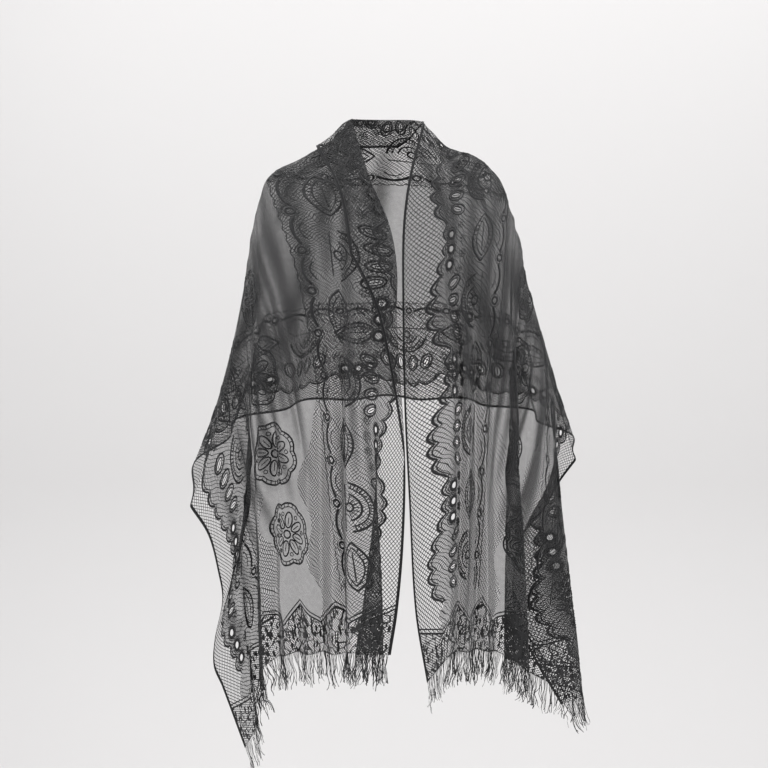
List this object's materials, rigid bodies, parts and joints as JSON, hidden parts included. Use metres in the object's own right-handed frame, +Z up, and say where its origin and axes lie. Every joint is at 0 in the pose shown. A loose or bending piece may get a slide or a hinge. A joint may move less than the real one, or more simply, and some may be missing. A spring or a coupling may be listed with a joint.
{
  "type": "lace shawl, as worn",
  "caption": "Fringed rectangle of lace worn as a shawl: round the neck with a turned-over edge, over both arms, hanging in pleats down the front.",
  "frame": {"origin": "middle of the wearer's neck at the height of the shoulders, where the shawl is held", "axes": "+Z up, the front faces -Y, +X is on the right of a viewer who stands in front"},
  "size_m": [0.6451, 0.2794, 1.0337],
  "materials": {
    "lace": "black warp-knitted lace, sheer, matt with a soft sheen",
    "fringe": "black loose yarn ends, matt"
  },
  "bodies": {
    "root": {"back": "lace", "front_left": "lace", "front_right": "lace", "arm_left": "lace", "arm_right": "lace", "collar": "lace", "fringe_left": "fringe", "fringe_right": "fringe"}
  },
  "joints": []
}
